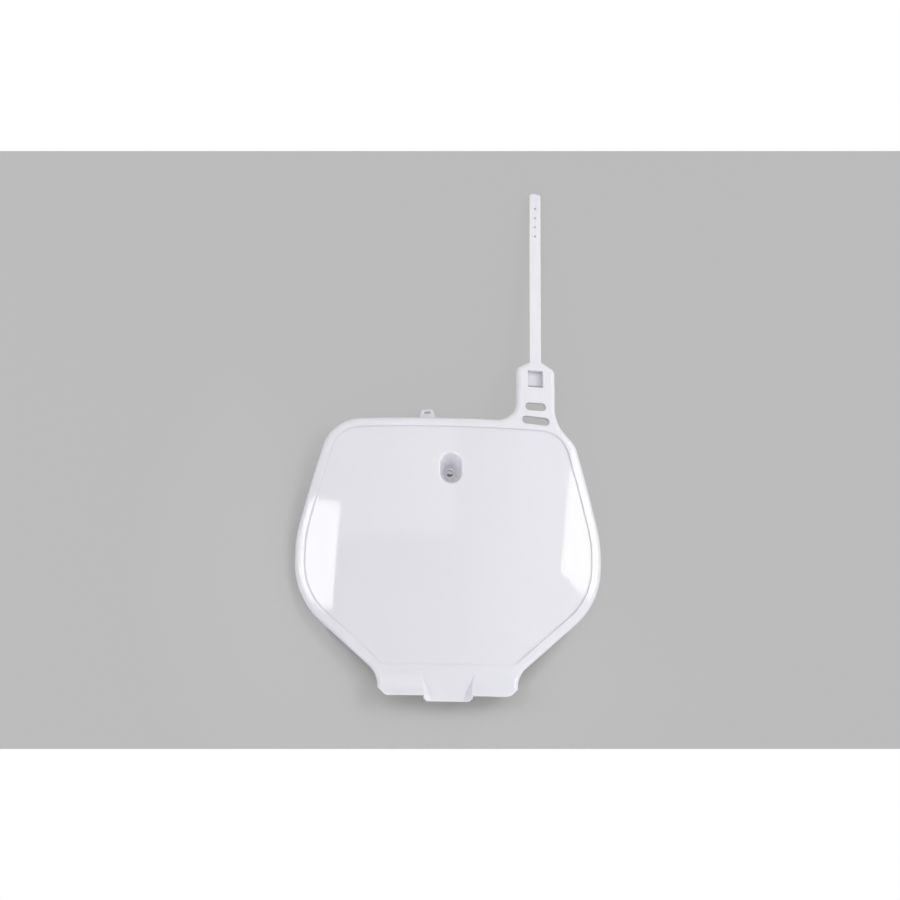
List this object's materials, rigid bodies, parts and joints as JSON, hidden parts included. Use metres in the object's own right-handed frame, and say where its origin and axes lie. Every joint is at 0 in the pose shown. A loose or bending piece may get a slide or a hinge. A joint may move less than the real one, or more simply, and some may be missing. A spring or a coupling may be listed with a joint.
{
  "type": "racing number board",
  "caption": "Curved front number board for an off-road motorbike, with a sunk number panel, a bolt recess, a lower tongue, a cable eye and a flexible moulded-on strap.",
  "frame": {"origin": "on the axis of the bolt hole, where the back of the bolt seat meets its bracket", "axes": "+X across the board to the side with the strap, +Y up the board along the strap, +Z out of the front face along the bolt"},
  "size_m": [0.2402, 0.4237, 0.0266],
  "materials": {
    "white_plastic": "smooth semi-gloss white polypropylene"
  },
  "bodies": {
    "root": {"number_board": "white_plastic"}
  },
  "joints": []
}
